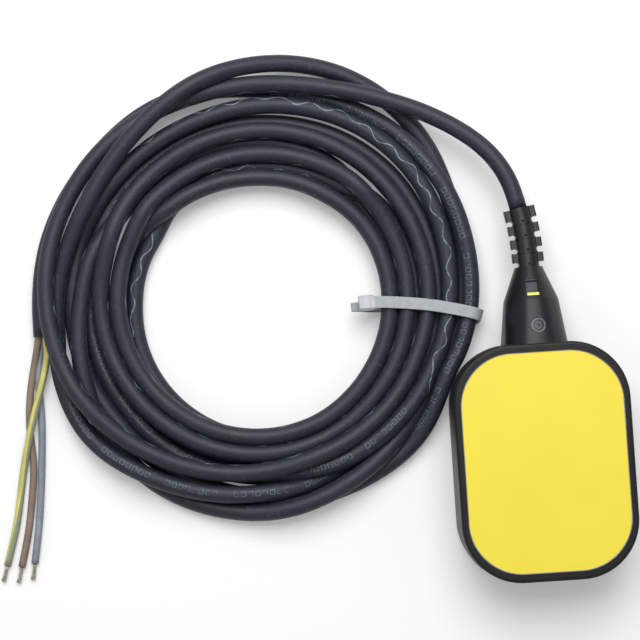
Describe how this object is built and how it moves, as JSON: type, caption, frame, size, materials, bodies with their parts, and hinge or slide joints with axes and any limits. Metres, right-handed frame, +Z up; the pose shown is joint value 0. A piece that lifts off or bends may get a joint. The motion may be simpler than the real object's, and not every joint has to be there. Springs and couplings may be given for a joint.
{
  "type": "cable float switch",
  "caption": "Flat sealed float with rounded corners and coloured faces, a tapered cable neck, a ribbed strain relief and a tied coil of three-core cable with bare ends.",
  "frame": {"origin": "middle of the float's footprint, neck included, on the surface that its rear face rests on", "axes": "+Z up through the float's thickness, +Y along the float towards its cable, +X across it"},
  "size_m": [0.3088, 0.2635, 0.041],
  "materials": {
    "float_black": "satin moulded black",
    "label_yellow": "satin yellow",
    "neck_black": "semi-gloss moulded black",
    "tab_yellow": "satin yellow",
    "relief_rubber": "semi-gloss black rubber",
    "cable_rubber": "matt slate-black rubber",
    "tie_nylon": "translucent white nylon",
    "core_brown": "satin brown",
    "core_earth": "satin yellow with a green stripe",
    "core_blue": "satin grey-blue",
    "tinned_copper": "stranded bare wire",
    "capsule_plastic": "matt black",
    "seal_rubber": "matt black rubber",
    "switch_plastic": "matt dark red",
    "lever_plastic": "matt white",
    "ball_steel": "polished",
    "pin_steel": "drawn",
    "contact_brass": "stamped"
  },
  "bodies": {
    "float": {"rear_shell": "float_black", "front_shell": "float_black", "rear_label": "label_yellow", "front_label": "label_yellow", "cable_neck": "neck_black", "marker_tab": "tab_yellow", "gland_seal": "seal_rubber", "gland_nut": "capsule_plastic", "strain_relief": "relief_rubber", "cable_tail": "cable_rubber", "cable_run": "cable_rubber", "cable_coil": "cable_rubber", "cable_tie": "tie_nylon", "core_brown": "core_brown", "core_earth": "core_earth", "core_blue": "core_blue", "conductor_brown": "tinned_copper", "conductor_earth": "tinned_copper", "conductor_blue": "tinned_copper", "capsule_base": "capsule_plastic", "capsule_cover": "capsule_plastic", "capsule_gasket": "seal_rubber", "lever_pin": "pin_steel", "switch_housing": "switch_plastic", "switch_cover": "switch_plastic", "common_terminal": "contact_brass", "open_terminal": "contact_brass", "closed_terminal": "contact_brass", "lead_brown": "core_brown", "lead_blue": "core_blue", "lead_earth": "core_earth", "earth_end_cap": "capsule_plastic", "lead_grommet": "seal_rubber"},
    "ball": {"steel_ball": "ball_steel"},
    "lever": {"lever": "lever_plastic"},
    "plunger": {"switch_plunger": "lever_plastic"},
    "blade": {"snap_blade": "contact_brass"}
  },
  "joints": [
    {"name": "ball_roll", "type": "slide", "parent": "float", "child": "ball", "axis": [0, 1, 0], "range_m": [0, 0.012]},
    {"name": "lever_swing", "type": "hinge", "parent": "float", "child": "lever", "pos_m": [-0.002, -0.04625, 0.0205], "axis": [0, 0, 1], "range_deg": [-4.1, 0.1]},
    {"name": "plunger_press", "type": "slide", "parent": "float", "child": "plunger", "axis": [1, 0, 0], "range_m": [-0.00002, 0.0013]},
    {"name": "blade_rock", "type": "hinge", "parent": "float", "child": "blade", "pos_m": [0.0031, -0.03825, 0.0205], "axis": [0, 0, 1], "range_deg": [-7.4, 0.1]}
  ],
  "couplings": [
    {"joint": "lever_swing", "follows": "ball_roll", "rad_per_m": -5.7722},
    {"joint": "plunger_press", "follows": "ball_roll", "ratio": 0.1054},
    {"joint": "blade_rock", "follows": "ball_roll", "rad_per_m": -10.54}
  ]
}
